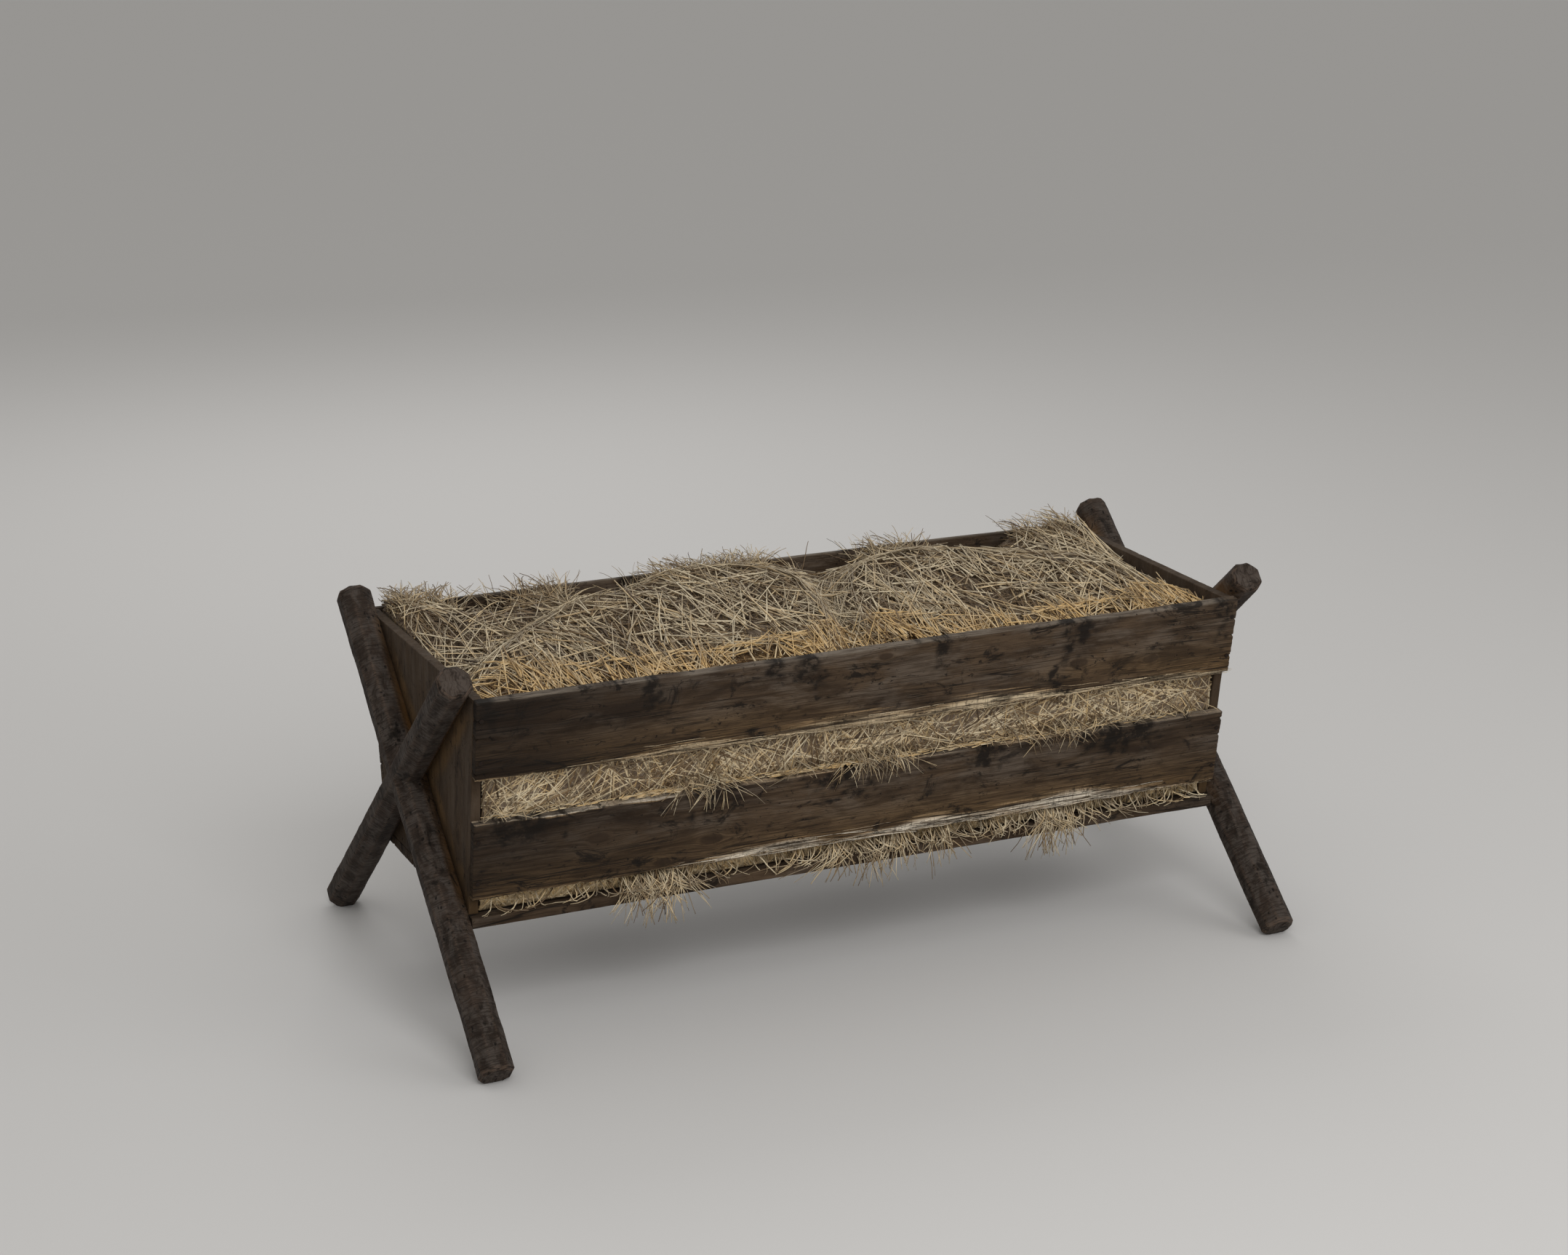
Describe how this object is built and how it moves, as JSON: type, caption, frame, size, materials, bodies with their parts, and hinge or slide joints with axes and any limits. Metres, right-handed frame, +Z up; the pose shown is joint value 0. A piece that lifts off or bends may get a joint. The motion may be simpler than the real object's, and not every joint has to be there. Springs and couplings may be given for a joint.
{
  "type": "hay rack feeder",
  "caption": "Slatted wooden hay trough for small livestock, carried between crossed pole legs and filled with loose hay.",
  "frame": {"origin": "on the ground, under the middle of the trough", "axes": "+X along the trough to its right end, +Y from its front to its back, +Z up"},
  "size_m": [1.624, 0.9428, 0.6865],
  "materials": {
    "board_wood": "matte",
    "pole_wood": "matte",
    "peg_wood": "matte",
    "nail_iron": "matte",
    "hay": "matte"
  },
  "bodies": {
    "rack": {"left_end_board": "board_wood", "right_end_board": "board_wood", "front_upper_slat": "board_wood", "front_lower_slat": "board_wood", "back_upper_slat": "board_wood", "back_lower_slat": "board_wood", "floor_board_front": "board_wood", "floor_board_middle": "board_wood", "floor_board_back": "board_wood", "left_front_leg": "pole_wood", "left_back_leg": "pole_wood", "right_front_leg": "pole_wood", "right_back_leg": "pole_wood", "left_crossing_peg": "peg_wood", "right_crossing_peg": "peg_wood", "left_leg_nails": "nail_iron", "right_leg_nails": "nail_iron", "front_slat_nails": "nail_iron", "back_slat_nails": "nail_iron", "floor_nails": "nail_iron"},
    "hay": {"hay_fill": "hay"}
  },
  "joints": [
    {"name": "hay_lift", "type": "slide", "parent": "rack", "child": "hay", "axis": [0, 0, 1], "range_m": [0, 0.5]}
  ]
}
